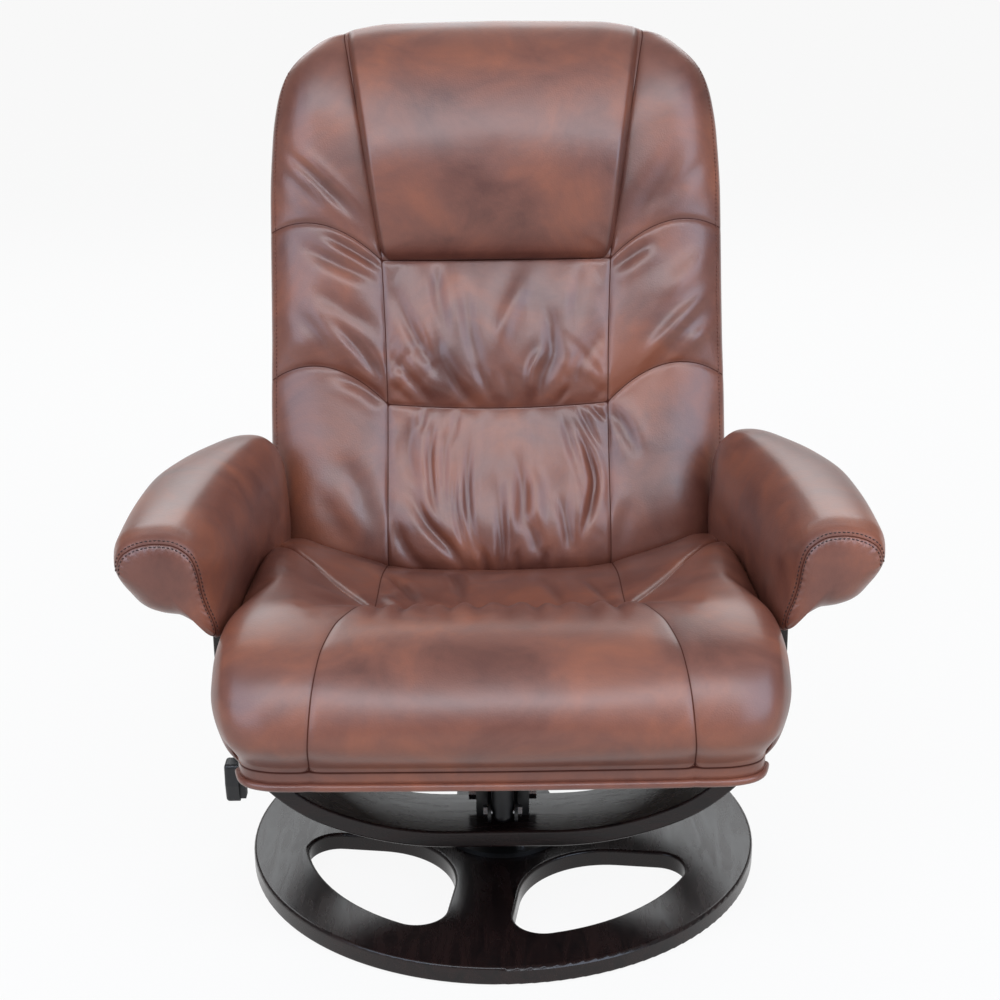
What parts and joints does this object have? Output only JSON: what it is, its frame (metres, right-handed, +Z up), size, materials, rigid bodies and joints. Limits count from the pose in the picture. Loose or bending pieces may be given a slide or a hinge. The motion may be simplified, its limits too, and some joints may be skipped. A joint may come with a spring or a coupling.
{
  "type": "recliner armchair",
  "caption": "Leather recliner armchair with a headrest pillow, padded arms, bent-wood hoops and a round wooden swivel base. The back reclines and the seat tilts with it.",
  "frame": {"origin": "on the floor at the swivel axis, under the middle of the round base", "axes": "+Z up, -Y the way the chair faces, +X to the right of someone who looks at its front"},
  "size_m": [0.8214, 0.8448, 0.9796],
  "materials": {
    "leather": "satin",
    "base_wood": "satin",
    "hoop_wood": "satin",
    "board": "matte",
    "felt": "matte",
    "webbing": "matte",
    "nylon": "satin",
    "lever_plastic": "satin",
    "black_steel": "satin",
    "bright_steel": "satin"
  },
  "bodies": {
    "base": {"base_disc": "base_wood", "base_glides": "felt", "swivel_column": "black_steel", "column_screws": "bright_steel", "swivel_bush": "nylon"},
    "frame": {"swivel_spindle": "bright_steel", "swivel_plate": "black_steel", "front_hoop": "hoop_wood", "rear_hoop": "hoop_wood", "mech_bracket": "black_steel", "hoop_bolts": "bright_steel", "bracket_bolt": "bright_steel", "strut_bolt": "bright_steel", "pivot_tube": "black_steel", "pivot_caps": "black_steel", "guide_pins": "bright_steel", "arm_brackets_left": "black_steel", "arm_brackets_right": "black_steel", "arm_core_left": "board", "arm_core_right": "board", "arm_bolts": "bright_steel", "arm_pad_left": "leather", "arm_pad_right": "leather"},
    "seat": {"seat_rail_left": "board", "seat_rail_right": "board", "seat_front_rail": "board", "seat_mid_rail": "board", "seat_rear_rail": "board", "pivot_lug_left": "black_steel", "pivot_lug_right": "black_steel", "pivot_bushes": "nylon", "seat_webbing": "webbing", "lock_quadrant": "black_steel", "strut_clevis": "black_steel", "back_hinge_pins": "bright_steel", "seat_cushion": "leather"},
    "back": {"back_cushion": "leather", "headrest_pillow": "leather", "back_cover": "leather", "back_frame": "black_steel", "back_hinge_plate_left": "black_steel", "back_hinge_plate_right": "black_steel", "hinge_bolts": "bright_steel", "back_webbing": "webbing"},
    "lever": {"lever_shaft": "bright_steel", "clamp_nut": "bright_steel", "lever_handle": "lever_plastic"},
    "strut_low": {"strut_tube": "black_steel"},
    "strut_high": {"strut_rod": "bright_steel"}
  },
  "joints": [
    {"name": "swivel_turn", "type": "hinge", "parent": "base", "child": "frame", "pos_m": [0, 0, 0.06], "axis": [0, 0, 1], "continuous": true},
    {"name": "seat_tilt", "type": "hinge", "parent": "frame", "child": "seat", "pos_m": [0, -0.105, 0.22], "axis": [-1, 0, 0], "range_deg": [0, 7.3]},
    {"name": "recline", "type": "hinge", "parent": "seat", "child": "back", "pos_m": [0, 0.152, 0.256], "axis": [-1, 0, 0], "range_deg": [0, 30]},
    {"name": "lever_turn", "type": "hinge", "parent": "frame", "child": "lever", "pos_m": [-0.3, -0.15, 0.18], "axis": [1, 0, 0], "range_deg": [-40, 40]},
    {"name": "strut_swing", "type": "hinge", "parent": "frame", "child": "strut_low", "pos_m": [0, -0.15, 0.131], "axis": [-1, 0, 0], "range_deg": [0, 2.9]},
    {"name": "strut_stroke", "type": "slide", "parent": "strut_low", "child": "strut_high", "axis": [0, -0.1121, 0.9937], "range_m": [0, 0.0072]}
  ],
  "couplings": [
    {"joint": "seat_tilt", "follows": "recline", "ratio": 0.2425},
    {"joint": "strut_swing", "follows": "recline", "ratio": 0.0915},
    {"joint": "strut_stroke", "follows": "recline", "m_per_rad": 0.0129}
  ]
}
